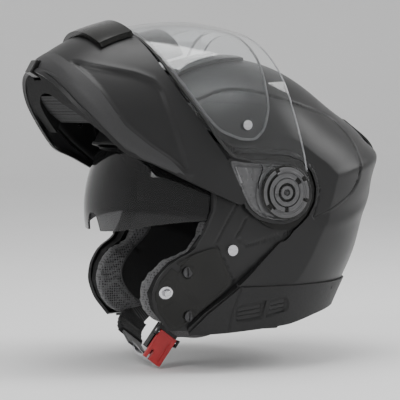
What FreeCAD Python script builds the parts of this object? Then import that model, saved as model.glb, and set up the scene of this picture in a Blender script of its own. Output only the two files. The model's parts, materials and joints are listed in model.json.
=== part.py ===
import FreeCAD, Part
import math
import os

from FreeCAD import Vector

# Flip-up motorcycle helmet, millimetres.
# Origin: middle of the axis on which the chin bar and the visor turn.
# +Z up, -Y the way the wearer looks, +X the wearer's left.
# Stored as photographed: chin bar raised, visor raised with it, sun shade down.

# ---- driving dimensions -------------------------------------------------
OPEN_ANGLE = 68.0          # chin bar, closed to raised
SHELL_WALL = 4.0
SHELL_HALF = 121.0         # half width of the raised rear part of the shell
SHELL_FLOOR = 114.6        # flat the visor's ears sweep over, round each pivot
SEAT_HALF = 112.0          # half width where the chin bar and visor lie over it
SEAT_FLOOR = 110.5         # flat floor under each pivot
CHIN_HALF = 118.2
CHIN_WALL = 4.0
VISOR_HALF = 120.7
VISOR_WALL = 2.2
HUB_R = 9.0                # shaft that chin bar and visor turn on
RUN = 0.06                 # running clearance on a shaft, radial
GAP = 0.3                  # clearance between neighbouring curved faces
SHADE_R = 124.0            # sun shade, radius about its own axis
SHADE_AXIS = (-26.0, -20.0)
SHADE_WALL = 2.0
SHADE_HALF = 104.0
RIM_FRONT = -132.0
RIM_REAR = -112.0
SEAM_Z = -89.0             # top edge of the rim trim
FAR = 170.0                # beyond the helmet on every side
HOOK_AT = (-111.0, -94.0)  # latch striker, side view
STRIKER_R = 3.0
PLATE_SCREWS = [(-93.0, -74.0), (-87.0, -117.0)]
PLATE_SCREW_R = 2.5
PLATE_SCREW_HEAD_R = 4.8
PIVOT_SCREW_R = 2.5
GUIDE_PIN_AT = (-51.0, -54.0)
GUIDE_PIN_R = 5.2
BASE_TOP = 112.9           # pivot base plate, outer face
BASE_R = 36.0              # pivot base plate, radius
BASE_EASE = 1.3            # its gap to the raised rear step
CHIN_FLOOR = 117.2         # chin bar arm, outer face at the pivot
VISOR_FLOOR = 119.6        # visor ear, outer face at the pivot
COVER_BASE = 119.9
COVER_TOP = 122.6
LENS_PIN_AT = (-74.4, -13.0)
LENS_PIN_R = 2.6
SHADE_FLOOR = 100.0
SHADE_PIN_R = 5.0
CHIN_TIP_R = 240.0
BUTTON_ANGLE = -38.5       # release button, round the pivot axis with the chin bar closed
SWEEP_R = 164.0            # nothing inside the chin bar may come nearer the pivot axis
ROLL_R = 10.0              # neck roll
BUCKLE_AT = (43.0, -90.5, -141.5)   # hinge of the buckle lever
BUCKLE_SIDE = (0.0, -0.80, 0.60)   # direction of that hinge
STRAP_WIDTH = 22.0
STRAP_THICK = 2.2
STRAP_ANCHOR = (-18.0, -84.0)       # rivet, side view

# Radius about the pivot axis against angle: 0 is forward, 90 up, 180 back.
SHELL_RING = [(-90, 236), (-72, 223), (-55, 214), (-40, 210), (-27, 203), (-15, 186), (-3, 165),
              (8, 153), (20, 147.5), (35, 143.5), (50, 139), (70, 133.5), (90, 130), (107, 125.5),
              (123, 122.5), (140, 126), (155, 140), (166, 153), (178, 141), (194, 134.5),
              (210, 138), (226, 146), (240, 165), (255, 200)]
CHIN_RING = [(-100, 222), (-85, 230), (-72, 233), (-60, 234), (-50, 239), (-42, 243), (-37, 240),
             (-31, 231), (-24, 219), (-16, 205), (-5, 194), (15, 188), (50, 185), (90, 185),
             (130, 185), (170, 190), (205, 200), (235, 212)]
VISOR_RING = [(-90, 200), (-60, 206), (-35, 208), (-25, 205), (-16, 198), (-6, 185), (5, 172),
              (17, 159.5), (30, 150.5), (45, 147.5), (65, 149), (90, 150), (130, 150), (170, 150),
              (210, 155), (240, 175)]
CAVITY_RING = [(-90, 190), (-60, 172), (-35, 150), (-15, 126), (0, 117), (20, 112), (45, 107),
               (70, 101), (90, 98), (120, 97), (150, 100), (180, 103), (205, 108), (230, 125),
               (250, 160)]

# ---- side outlines, (y, z) ----------------------------------------------
FRONT_OPENING = [(-300, 47), (-134, 47), (-112, 43), (-88, 34), (-72, 18), (-66, 2), (-67, -14),
                 (-76, -36), (-87, -53), (-106, -63), (-118, -78), (-123, -95), (-118, -113),
                 (-107, -127), (-97, -140), (-97, -300), (-300, -300)]
BELOW_RIM = [(-300, RIM_FRONT - 1), (-53, RIM_FRONT + 1), (10, -124.5), (42, -117),
             (75, RIM_REAR), (300, RIM_REAR), (300, -400), (-300, -400)]
# Seat line of the raised chin bar, then an arc clear of the visor's ear, then over the crown.
RAISED = [(-95, -136), (-75, -112), (-46, -88.5), (-4, -48), (16, -34), (27, -24), (34.5, -11),
          (36, 4), (31, 19), (20, 30), (4, 35.5), (-16, 37), (-40, 38), (-61, 40), (-76, 52),
          (-92, 90), (-106, 130), (-110, 300), (300, 300), (300, -300), (-95, -300)]
CHIN_OUTLINE = [(8, 26), (-16, 22), (-32, 2), (-42, -25), (-50, -43), (-68, -48), (-300, -47),
                (-300, -156), (-189, -155), (-150, -149), (-93.5, -130.5), (-76.3, -111.3),
                (-48.5, -87), (-5.5, -46.5), (13, -27)]
VISOR_OUTLINE = [(4, 28), (-36, 37), (-68, 43), (-102, 51), (-130, 57), (-300, 64), (-300, -45),
                 (-68, -46), (-52, -41.5), (-44, -27), (-33, -10), (-20, -24), (0, -31)]


def ring_points(ring, offset=0.0):
    points = []
    for angle, radius in ring:
        turn = math.radians(angle)
        reach = radius + offset
        points.append(Vector(0, -reach * math.cos(turn), reach * math.sin(turn)))
    return points


def side_curve(half, floor, power, root):
    """Half width against the share of the full radius, from one flat side to the other."""
    steps = 9
    last = math.asin(floor / half)
    points = []
    for step in range(-steps, steps + 1):
        x = half * math.sin(last * step / steps)
        share = (1.0 - (abs(x) / half) ** root) ** (1.0 / power)
        points.append(Vector(x, share, 0))
    curve = Part.BSplineCurve()
    curve.interpolate(points)
    return curve


def bulge(ring, half, floor, offset=0.0, power=2.5, root=2.1, centre=(0.0, 0.0)):
    """Solid whose cross-section at every x is the same ring, scaled down towards the sides."""
    around = Part.BSplineCurve()
    around.interpolate(Points=ring_points(ring, offset), PeriodicFlag=True)
    across = side_curve(half, floor, power, root)
    poles = []
    for pole in around.getPoles():
        row = []
        for knot in across.getPoles():
            row.append(Vector(knot.x, centre[0] + knot.y * pole.y, centre[1] + knot.y * pole.z))
        poles.append(row)
    skin = Part.BSplineSurface()
    skin.buildFromPolesMultsKnots(
        poles, around.getMultiplicities(), across.getMultiplicities(), around.getKnots(),
        across.getKnots(), True, False, around.Degree, across.Degree)
    faces = [skin.toShape()]
    for knot in (across.FirstParameter, across.LastParameter):
        edge = skin.vIso(knot).toShape()
        faces.append(Part.Face(Part.Wire([edge])))
    hull = Part.makeShell(faces)
    hull.sewShape()
    solid = Part.makeSolid(hull)
    if solid.Volume < 0:
        solid.reverse()
    return solid


def prism(outline, low=-FAR, high=FAR):
    """Side outline carried across the helmet, from x = low to x = high."""
    points = [Vector(low, y, z) for y, z in outline]
    face = Part.Face(Part.makePolygon(points + [points[0]]))
    return face.extrude(Vector(high - low, 0, 0))


def box(low, high):
    size = [b - a for a, b in zip(low, high)]
    return Part.makeBox(size[0], size[1], size[2], Vector(*low))


def rod(radius, x_low, x_high, at=(0.0, 0.0)):
    """Cylinder along the helmet's width."""
    low = min(x_low, x_high)
    return Part.makeCylinder(radius, abs(x_high - x_low), Vector(low, at[0], at[1]), Vector(1, 0, 0))


def mirrored(shape):
    return shape.mirror(Vector(0, 0, 0), Vector(1, 0, 0))


def raised(shape):
    """Turn a piece of the chin bar from closed to its stored, raised place."""
    moved = shape.copy()
    moved.rotate(Vector(0, 0, 0), Vector(1, 0, 0), -OPEN_ANGLE)
    return moved


def save(name, shape):
    solids = shape.Solids
    whole = solids[0] if len(solids) == 1 else Part.makeCompound(solids)
    whole.exportStep("parts/" + name + ".step")
    print(name, len(solids), round(whole.Volume), whole.isValid())


def save_pair(name, left):
    save(name + "_left", left)
    save(name + "_right", mirrored(left))


def main_skins():
    """The surfaces that several pieces are cut from."""
    skins = {}
    skins["shell_out"] = bulge(SHELL_RING, SHELL_HALF, SHELL_FLOOR)
    skins["shell_in"] = bulge(SHELL_RING, SHELL_HALF - SHELL_WALL, SHELL_FLOOR - SHELL_WALL, -SHELL_WALL)
    skins["seat_out"] = bulge(SHELL_RING, SEAT_HALF, SEAT_FLOOR, -1.2)
    skins["seat_in"] = bulge(SHELL_RING, SEAT_HALF - SHELL_WALL, SEAT_FLOOR - SHELL_WALL,
                             -1.2 - SHELL_WALL)
    skins["foam_out"] = bulge(SHELL_RING, SEAT_HALF - SHELL_WALL - 0.5, SEAT_FLOOR - SHELL_WALL - 0.5,
                              -1.7 - SHELL_WALL)
    skins["foam_in"] = bulge(CAVITY_RING, 86.0, 80.0)
    return skins



def ring_radius(ring, angle):
    """Radius of a ring at an angle in degrees, straight between its neighbouring points."""
    turned = (angle + 90.0) % 360.0 - 90.0
    for (a0, r0), (a1, r1) in zip(ring, ring[1:] + [(ring[0][0] + 360, ring[0][1])]):
        if a0 <= turned <= a1:
            return r0 + (r1 - r0) * (turned - a0) / (a1 - a0)
    return ring[0][1]


def seat_x(y, z, proud=0.0):
    """Half width of the chin bar's seat on the shell above a point of the side view."""
    radius = math.hypot(y, z)
    full = ring_radius(SHELL_RING, math.degrees(math.atan2(z, -y))) - 1.2 + proud
    half = SEAT_HALF + proud
    return half * (1.0 - (radius / full) ** 2.5) ** (1.0 / 2.1)


def shifted(outline, dy, dz):
    return [(y + dy, z + dz) for y, z in outline]


def both(shape):
    return shape.fuse(mirrored(shape))


def layer(ring, half, floor, low, high, **shape):
    """Thin skin between two offsets of one bulge."""
    outside = bulge(ring, half + high, floor + high, high, **shape)
    inside = bulge(ring, half + low, floor + low, low, **shape)
    return outside.cut(inside)


def outer_shell(skins):
    rear = prism(RAISED)
    inner_outline = [(y + 3.0, z + (2.0 if z < 0 else -2.0)) for y, z in RAISED]
    outside = skins["seat_out"].fuse(skins["shell_out"].common(rear))
    inside = skins["seat_in"].fuse(skins["shell_in"].common(prism(inner_outline)))
    shell = outside.cut(inside)
    shell = shell.cut(prism(FRONT_OPENING))
    shell = shell.cut(prism(BELOW_RIM))
    screw_hole = rod(PIVOT_SCREW_R, 100, 125)
    return shell.cut(both(screw_hole))


def eps_liner(skins):
    liner = skins["foam_out"].cut(skins["foam_in"])
    below = [(-300, -16), (-64, -16), (-20, -26), (20, -38), (35, -72), (37, -86), (300, -86),
             (300, -300), (-300, -300)]
    brow = [(-300, 49), (-132, 49), (-108, 45), (-84, 36), (-68, 20), (-62, 4), (-62, -30),
            (-300, -30)]
    liner = liner.cut(prism(below))
    liner = liner.cut(prism(brow))
    pocket = prism([(-13, -38), (-300, -38), (-300, 300), (-13, 300)])
    pocket = pocket.cut(shade_bulge(SHADE_R - 3.5, SHADE_HALF - 3.8, SHADE_FLOOR - 3.8))
    return liner.cut(pocket)


def comfort_liner():
    lining = layer(CAVITY_RING, 85.6, 79.6, -8.0, -0.4)
    region = [(-104, 52), (-82, 42), (-62, 22), (-52, -6), (-18, -20), (24, -32), (48, -66),
              (62, -80), (200, -80), (200, 200), (-200, 200), (-200, 52)]
    return lining.common(prism(region))


def cheek_pads():
    """Foam core and fabric-covered pad of the left cheek."""
    core_outline = [(-22, -40), (14, -48), (30, -77), (33, -101), (26, -110),
                    (-20, -120), (-94, -128), (-105, -123), (-115, -111), (-120, -95),
                    (-115, -80), (-104, -66), (-86, -56), (-75, -40)]
    pad_outline = [(-66, -22), (-22, -31), (15, -45), (27, -78), (30, -102), (24, -111),
                   (-22, -122), (-95, -129.5), (-110, -124), (-120, -112), (-125, -95),
                   (-120, -78), (-107, -62), (-86, -51), (-75, -36)]
    left_half = box((10, -200, -200), (200, 200, 200))
    foam = bulge(SHELL_RING, SEAT_HALF - 4.9, SEAT_FLOOR - 4.9, -6.1)
    parting = bulge(SHELL_RING, 92, 88, -10)
    pad_back = bulge(SHELL_RING, 91.6, 87.6, -10.4)
    face = bulge(SHELL_RING, 70, 66, -18)
    core = foam.cut(parting).common(prism(core_outline)).common(left_half)
    pad = pad_back.cut(face).common(prism(pad_outline)).common(left_half)
    return core, pad


def neck_roll():
    half = [(0, 84, -98), (44, 77, -98), (70, 58, -98), (79, 41, -98)]
    points = [Vector(-x, y, z) for x, y, z in reversed(half[1:])]
    points += [Vector(x, y, z) for x, y, z in half]
    path = Part.BSplineCurve()
    path.interpolate(points)
    start = path.value(path.FirstParameter)
    along = path.tangent(path.FirstParameter)[0]
    ring = Part.Wire([Part.makeCircle(ROLL_R, start, along)])
    return Part.Wire([path.toShape()]).makePipeShell([ring], True, False)


def lower_trim():
    """Band round the lower rear of the shell that turns in under its rim."""
    outline = [(-44, SEAM_Z), (300, SEAM_Z), (300, RIM_REAR - 2.5), (75, RIM_REAR - 2.5),
               (42, -119.5), (10, -127), (-53, -133.5), (-90, -135.4), (-73.5, -114),
               (-45.5, -89.5)]
    above_rim = [(-120, -133.5), (-53, -131.3), (10, -124.8), (42, -117.3), (75, RIM_REAR - 0.3),
                 (300, RIM_REAR - 0.3), (300, 0), (-120, 0)]
    trim = bulge(SHELL_RING, SHELL_HALF + 2.0, 119.5, 2.0).common(prism(outline))
    trim = trim.cut(bulge(SHELL_RING, SHELL_HALF + GAP, SHELL_FLOOR + GAP, GAP).common(prism(above_rim)))
    trim = trim.cut(bulge(SHELL_RING, SHELL_HALF - 8, 109.5, -8.0))
    for step in range(4):
        y = -38 + 13 * step
        slot = [(y, -103), (y + 3.4, -103), (y + 9.4, -117), (y + 6.0, -117)]
        trim = trim.cut(both(prism(slot, 90, FAR)))
    return trim


def eyeport_gasket():
    strip = prism(shifted(FRONT_OPENING, -0.25, -0.2)).cut(prism(shifted(FRONT_OPENING, -3.0, -2.4)))
    band = layer(SHELL_RING, SEAT_HALF, SEAT_FLOOR, -5.4, 0.2)
    return band.common(strip).common(box((-FAR, -200, -50), (FAR, 0, 100)))


def latch_plate():
    outline = [(-66, -50), (-87, -56), (-105, -66), (-116, -80), (-120.5, -95), (-116, -112),
               (-106, -125.5), (-97, -131.5), (-78, -113), (-49, -86)]
    plate = layer(SHELL_RING, SEAT_HALF + 1.2, SEAT_FLOOR + 1.2, -0.9, 1.1)
    plate = plate.common(prism(outline, 20, FAR))
    for place in PLATE_SCREWS:
        plate = plate.cut(rod(PLATE_SCREW_R, 60, FAR, place))
    return plate.cut(rod(STRIKER_R, 60, FAR, HOOK_AT))


def plate_screws():
    screws = []
    for place in PLATE_SCREWS:
        face = seat_x(place[0], place[1], 1.1)
        screw = rod(PLATE_SCREW_R, face - 9, face - 0.5, place)
        head = rod(PLATE_SCREW_HEAD_R, face - 1.6, face + 0.8, place)
        drive = Part.makeBox(3, 1.6, 8.0, Vector(face - 0.6, place[0] - 0.8, place[1] - 4.0))
        screws.append(screw.fuse(head).cut(drive))
    return Part.makeCompound(screws)


def striker():
    face = seat_x(HOOK_AT[0], HOOK_AT[1], 1.1)
    return rod(STRIKER_R, face - 8, face + 4.8, HOOK_AT)


def pivot_base():
    base = rod(BASE_R, SEAT_FLOOR + 0.1, BASE_TOP)
    for rise in (-BASE_EASE, BASE_EASE):
        base = base.cut(prism(shifted(RAISED, -BASE_EASE, rise)))
    ring = rod(33, BASE_TOP - 0.1, BASE_TOP + 0.2).cut(rod(31, 100, 130))
    return base.fuse(ring.common(base.translated(Vector(0.15, 0, 0)))).cut(rod(PIVOT_SCREW_R, 100, 130))


def pivot_cover():
    """Round cap over the hub, turned in steps, with a sunk screw seat."""
    cover = rod(26, COVER_BASE, COVER_TOP - 1.2).fuse(rod(22.5, COVER_BASE, COVER_TOP - 0.4))
    cover = cover.fuse(rod(14, COVER_BASE, COVER_TOP))
    for outer, inner in ((24.8, 23.4), (19.5, 17.5), (12.0, 10.8)):
        groove = rod(outer, COVER_TOP - 1.9, COVER_TOP + 1).cut(rod(inner, 100, 130))
        cover = cover.cut(groove)
    return cover.cut(rod(6.7, COVER_TOP - 1.6, COVER_TOP + 1)).cut(rod(PIVOT_SCREW_R, 100, 130))


def pivot_screw():
    screw = rod(PIVOT_SCREW_R, 107.5, COVER_TOP - 1.4).fuse(rod(6.5, COVER_TOP - 1.6, COVER_TOP - 0.2))
    for turn in (0, 90):
        drive = Part.makeBox(2, 1.4, 8, Vector(COVER_TOP - 0.9, -0.7, -4))
        drive.rotate(Vector(0, 0, 0), Vector(1, 0, 0), turn)
        screw = screw.cut(drive)
    return screw


def chin_bulge_layer(low, high):
    outside = bulge(CHIN_RING, CHIN_HALF + high, CHIN_FLOOR + high, high, 2.6, 2.0)
    inside = bulge(CHIN_RING, CHIN_HALF + low, CHIN_FLOOR + low, low, 2.6, 2.0)
    return outside.cut(inside)


def chin_shell():
    skin = chin_bulge_layer(-CHIN_WALL + 0.4, 0.0).common(prism(CHIN_OUTLINE))
    boss = rod(27, CHIN_FLOOR - 3.6, CHIN_FLOOR)
    skin = skin.fuse(both(boss))
    skin = skin.cut(both(rod(HUB_R + RUN, 100, 130)))
    return skin.cut(button_block(8.6, 7.6, -12, 6))


def button_block(half_width, half_height, low, high):
    """Block that points out of the chin at its lower front edge."""
    block = box((-half_width, -(CHIN_TIP_R + high), -half_height),
                (half_width, -(CHIN_TIP_R + low), half_height))
    block.rotate(Vector(0, 0, 0), Vector(1, 0, 0), -BUTTON_ANGLE)
    return block


def chin_trim():
    band_outline = [(-57, -92.5), (-77, -111.3), (-93.5, -129.5), (-150, -148.5), (-189, -154.5),
                    (-300, -155.5), (-300, -112), (-178, -112), (-141, -115.5), (-112, -111.5),
                    (-80, -100)]
    band = chin_bulge_layer(GAP, 1.6).common(prism(band_outline))
    lip_outline = [(-113, -137.3), (-150, -149.5), (-189, -155.5), (-300, -156.5), (-300, -159),
                   (-189, -158), (-150, -152), (-113, -139.6)]
    lip = chin_bulge_layer(-24.0, 1.6).common(prism(lip_outline))
    bridge = chin_bulge_layer(GAP, 1.6).common(prism(
        [(-97, -130), (-150, -147), (-189, -153), (-300, -154), (-300, -158), (-189, -157),
         (-150, -151), (-97.5, -134)]))
    trim = band.fuse(bridge).fuse(lip)
    return trim.cut(button_block(8.6, 7.6, -12, 6))


def chin_liner():
    outline = [(-300, -56), (-160, -56), (-146, -100), (-112, -130), (-150, -146.5),
               (-189, -152.5), (-300, -153)]
    liner = chin_bulge_layer(-24.0, -4.4).common(prism(outline))
    liner = liner.cut(rod(SWEEP_R, -FAR, FAR))
    return liner.cut(button_block(9.5, 8.5, -14, 6))


def chin_grille():
    plate = prism([(-158, -147.5), (-157, -145.5), (-123, -123.5), (-121.5, -125.5)])
    inside = bulge(CHIN_RING, CHIN_HALF - 24.6, CHIN_FLOOR - 24.6, -24.6, 2.6, 2.0)
    return plate.common(inside).common(box((-52, -300, -300), (52, 0, 0)))


def breath_guard():
    outline = [(-300, -70), (-150, -70), (-150, -24), (-165, -20), (-300, -16)]
    guard = bulge(CHIN_RING, 96, 94, -15.5, 2.6, 2.0).cut(bulge(CHIN_RING, 94, 92, -17.7, 2.6, 2.0))
    return guard.common(prism(outline)).common(box((-56, -300, -300), (56, 0, 0)))


def chin_vent_cover():
    outline = [(-300, -105), (-150, -94), (-150, -62), (-300, -62)]
    cover = chin_bulge_layer(1.4, 6.0)
    return cover.common(prism(outline)).common(box((-50, -300, -300), (50, 0, 0)))


def latch_fork():
    """Open fork that drops over the striker as the chin bar closes."""
    along = (0.645, -0.763)
    across = (0.763, 0.645)

    def place(u, v):
        return (HOOK_AT[0] + u * along[0] + v * across[0], HOOK_AT[1] + u * along[1] + v * across[1])

    body = [place(-16, -9), place(5, -9), place(5, 9), place(-16, 9)]
    slot = [place(-4.2, -4.2), place(8, -4.2), place(8, 4.2), place(-4.2, 4.2)]
    outside = bulge(SHELL_RING, SEAT_HALF + 6.2, SEAT_FLOOR + 6.2, 4.4)
    inside = bulge(SHELL_RING, SEAT_HALF + 4.2, SEAT_FLOOR + 4.2, 2.6)
    fork = outside.cut(inside).common(prism(body, 20, FAR))
    return fork.cut(prism(slot, 20, FAR))


def visor():
    outside = bulge(VISOR_RING, VISOR_HALF, VISOR_FLOOR, 0.0, 3.2, 2.0)
    inside = bulge(VISOR_RING, VISOR_HALF - VISOR_WALL, VISOR_FLOOR - 2.0, -VISOR_WALL, 3.2, 2.0)
    lens = outside.cut(inside).common(prism(VISOR_OUTLINE))
    lens = lens.fuse(both(rod(28.5, VISOR_FLOOR - 2.0, VISOR_FLOOR)))
    lens = lens.cut(both(rod(HUB_R + RUN, 100, 130)))
    tab = box((-11, -205, -44.8), (11, -186, -42.8))
    lens = lens.fuse(tab.cut(bulge(VISOR_RING, VISOR_HALF - 1, VISOR_FLOOR - 1, -1.0, 3.2, 2.0)))
    return lens.cut(both(rod(LENS_PIN_R, 100, 130, LENS_PIN_AT)))


def lens_pins():
    pin = rod(LENS_PIN_R, 110.6, 118.0, LENS_PIN_AT)
    head = rod(4.6, 117.9, 119.2, LENS_PIN_AT)
    return Part.makeCompound([pin.fuse(head), mirrored(pin.fuse(head))])


def shade_bulge(radius, half, floor):
    ring = [(angle, radius) for angle in range(-90, 270, 24)]
    return bulge(ring, half, floor, centre=SHADE_AXIS)


def sun_shade():
    skin = shade_bulge(SHADE_R, SHADE_HALF, SHADE_FLOOR)
    skin = skin.cut(shade_bulge(SHADE_R - SHADE_WALL, SHADE_HALF - SHADE_WALL, SHADE_FLOOR - SHADE_WALL))
    outline = [(-18, -12), (-50, 14), (-85, 40), (-118, 62), (-300, 90), (-300, -46),
               (-150, -40.5), (-119, -31), (-95, -27.5), (-60, -25.5), (-24, -31)]
    shade = skin.common(prism(outline))
    boss = rod(11, SHADE_FLOOR - SHADE_WALL, SHADE_FLOOR, SHADE_AXIS)
    shade = shade.fuse(both(boss)).cut(both(rod(SHADE_PIN_R + RUN, 60, 130, SHADE_AXIS)))
    notch = [(-25, -80), (-13, -29), (-5, -22), (5, -22), (13, -29), (25, -80)]
    points = [Vector(x, -200, z) for x, z in notch]
    face = Part.Face(Part.makePolygon(points + [points[0]]))
    return shade.cut(face.extrude(Vector(0, 120, 0)))


def shade_pivots():
    pin = rod(SHADE_PIN_R, 97.4, 106.4, SHADE_AXIS).fuse(rod(7.5, 96.4, 97.7, SHADE_AXIS))
    return Part.makeCompound([pin, mirrored(pin)])


def shade_slider():
    knob = box((88, -12, -132), (96, 4, -124.4))
    knob = knob.makeFillet(2.0, [edge for edge in knob.Edges if abs(edge.CenterOfMass.z + 132) < 0.1])
    return knob


def vent_pieces():
    base = layer(SHELL_RING, SHELL_HALF, SHELL_FLOOR, GAP, 3.2)
    base = base.common(prism([(-76, 80), (-76, 170), (-4, 170), (-4, 80)]))
    base = base.common(box((-36, -100, 80), (36, 0, 170)))
    slider = layer(SHELL_RING, SHELL_HALF, SHELL_FLOOR, 3.8, 6.2)
    slider = slider.common(box((-17, -60, 80), (17, -28, 170)))
    return base, slider


def rear_vent_cover():
    cover = layer(SHELL_RING, SHELL_HALF, SHELL_FLOOR, GAP, 2.6)
    outline = [(112, 66), (126, 84), (200, 50), (200, 14), (132, 14)]
    return cover.common(prism(outline)).common(box((-32, 90, 0), (32, 200, 110)))


def rear_screws():
    screws = []
    for z in (-80, -94):
        screw = rod(2.0, 84, 92, (62, z)).fuse(rod(3.4, 91.4, 93.4, (62, z)))
        screws += [screw, mirrored(screw)]
    return Part.makeCompound(screws)


def ribbon(centres, wide, width, thick):
    """Flat strap through the given centres; wide is the direction across it at each one."""
    wires = []
    count = len(centres)
    for index, (centre, across) in enumerate(zip(centres, wide)):
        ahead = Vector(*centres[min(index + 1, count - 1)])
        behind = Vector(*centres[max(index - 1, 0)])
        along = (ahead - behind).normalize()
        side = Vector(*across).normalize()
        side = (side - along * side.dot(along)).normalize()
        normal = along.cross(side)
        middle = Vector(*centre)
        corners = [middle + side * (a * width / 2) + normal * (b * thick / 2)
                   for a, b in ((-1, -1), (1, -1), (1, 1), (-1, 1))]
        wires.append(Part.makePolygon(corners + [corners[0]]))
    return Part.makeLoft(wires, True)


def buckle_frame(shape):
    """Place a buckle piece: local x along the hinge, y down the lever, z outwards."""
    side = Vector(*BUCKLE_SIDE).normalize()
    out = Vector(1, 0, 0)
    down = out.cross(side)
    moved = shape.copy()
    moved.Placement = FreeCAD.Placement(
        Vector(*BUCKLE_AT), FreeCAD.Rotation(side, down, out, "ZXY")).multiply(moved.Placement)
    return moved


def buckle_pieces():
    """Receiver, hinge pin, lever and spring bar of the ratchet buckle."""
    body = Part.makeBox(22, 27, 11.5, Vector(-11, -9, -13))
    body = body.makeFillet(2.0, [edge for edge in body.Edges if abs(edge.CenterOfMass.z + 13) < 0.1])
    body = body.cut(Part.makeBox(15.2, 40, 3.4, Vector(-7.6, -20, -8.2)))
    for low in (-13.4, 11.4):
        ear = Part.makeBox(2.0, 8, 10, Vector(low, -4, -5.6))
        link = Part.makeBox(2.6, 8, 4, Vector(min(low, low * 0.96), -4, -5.6))
        body = body.fuse(ear).fuse(link)
    bore = Part.makeCylinder(1.6, 40, Vector(-20, 0, 2), Vector(1, 0, 0))
    body = body.cut(bore)
    pin = Part.makeCylinder(1.6, 27.6, Vector(-13.8, 0, 2), Vector(1, 0, 0))
    lever = Part.makeBox(20, 29, 4, Vector(-10, -1, 0))
    knuckle = Part.makeCylinder(3.2, 20, Vector(-10, 0, 2), Vector(1, 0, 0))
    knuckle = knuckle.common(Part.makeBox(30, 10, 4, Vector(-15, -5, 0)))
    lever = lever.fuse(knuckle)
    lever = lever.cut(Part.makeBox(3.5, 14, 6, Vector(3.5, 18, -1)))
    lever = lever.cut(Part.makeBox(2.4, 20, 0.8, Vector(-6, 4, 3.4)))
    lever = lever.cut(Part.makeCylinder(1.6 + RUN, 40, Vector(-20, 0, 2), Vector(1, 0, 0)))
    return [buckle_frame(piece) for piece in (body, pin, lever)]


def strap_path(side):
    """Centres of the chin strap from its rivet to the buckle, left +1 or right -1."""
    y, z = STRAP_ANCHOR
    if side > 0:
        return [(91, y + 2, z + 4), (88, -30, -100), (77, -54, -124), (58, -74, -133.5),
                (44, -84, -134.5), (36.8, -88, -137.5), (36.8, -90, -141.5)]
    return [(-91, y + 2, z + 4), (-88, -32, -102), (-72, -64, -125), (-46, -90, -138),
            (-18, -101, -148.5), (4, -104.5, -156)]


def ratchet_tongue():
    centres = [(-2, -104, -153.6), (12, -105.5, -159.5), (26, -105.5, -163.5), (34.4, -103.2, -161.5),
               (36.6, -100.6, -157), (36.6, -96.4, -149.2)]
    return ribbon(centres, [BUCKLE_SIDE] * len(centres), 14, 1.8)


def strap_pad(centres):
    return ribbon(centres, [BUCKLE_SIDE] * len(centres), 31, 8.5)


def strap_rivets():
    rivet = rod(4, 86, 111.5, STRAP_ANCHOR).fuse(rod(6.5, 85.4, 87.4, STRAP_ANCHOR))
    return Part.makeCompound([rivet, mirrored(rivet)])


os.makedirs("parts", exist_ok=True)
skins = main_skins()

# Shell and what is fixed to it
save("outer_shell", outer_shell(skins))
save("eps_liner", eps_liner(skins))
save("comfort_liner", comfort_liner())
cheek_core, cheek_pad = cheek_pads()
save_pair("cheek_core", cheek_core)
save_pair("cheek_pad", cheek_pad)
save("neck_roll", neck_roll())
save("lower_trim", lower_trim())
save("eyeport_gasket", eyeport_gasket())
save_pair("latch_plate", latch_plate())
save("plate_screws", Part.makeCompound([plate_screws(), mirrored(plate_screws())]))
save_pair("striker", striker())
guide_pin = rod(GUIDE_PIN_R, 102, 110.3, GUIDE_PIN_AT)
save("guide_pins", Part.makeCompound([guide_pin, mirrored(guide_pin)]))
save_pair("pivot_base", pivot_base())
save_pair("pivot_hub", rod(HUB_R, BASE_TOP, COVER_BASE).cut(rod(PIVOT_SCREW_R, 100, 130)))
save_pair("pivot_cover", pivot_cover())
save_pair("pivot_screw", pivot_screw())
vent_base, vent_slider = vent_pieces()
save("top_vent_base", vent_base)
save("rear_vent_cover", rear_vent_cover())
save("rear_screws", rear_screws())
save("shade_pivots", shade_pivots())
strap_left = strap_path(1)
strap_right = strap_path(-1)
save("strap_left", ribbon(strap_left, [BUCKLE_SIDE] * len(strap_left), STRAP_WIDTH, STRAP_THICK))
save("strap_right", ribbon(strap_right, [BUCKLE_SIDE] * len(strap_right), STRAP_WIDTH, STRAP_THICK))
save("strap_pad", strap_pad([(-58, -79, -132), (-46, -90, -138), (-18, -101, -148.5)]))
save("strap_rivets", strap_rivets())
receiver, lever_pin, lever = buckle_pieces()
save("buckle_receiver", receiver)
save("buckle_pin", lever_pin)
save("ratchet_tongue", ratchet_tongue())

# Moving pieces
save("buckle_lever", lever)
save("sun_shade", sun_shade())
save("shade_slider", shade_slider())
save("top_vent_slider", vent_slider)

# Chin bar, built closed and stored raised
save("chin_shell", raised(chin_shell()))
save("chin_trim", raised(chin_trim()))
save("chin_liner", raised(chin_liner()))
save("chin_grille", raised(chin_grille()))
save("breath_guard", raised(breath_guard()))
save("chin_vent_cover", raised(chin_vent_cover()))
button = button_block(8.0, 7.0, -7.0, 4.0)
save("release_button", raised(button.makeFillet(1.2, button.Edges)))
fork = raised(latch_fork())
save_pair("latch_fork", fork)

# Visor, on the chin bar's axis
save("visor", raised(visor()))
save("lens_pins", raised(lens_pins()))
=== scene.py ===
import json
import math

import bmesh
import bpy
import numpy as np
from mathutils import Matrix, Vector


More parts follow.
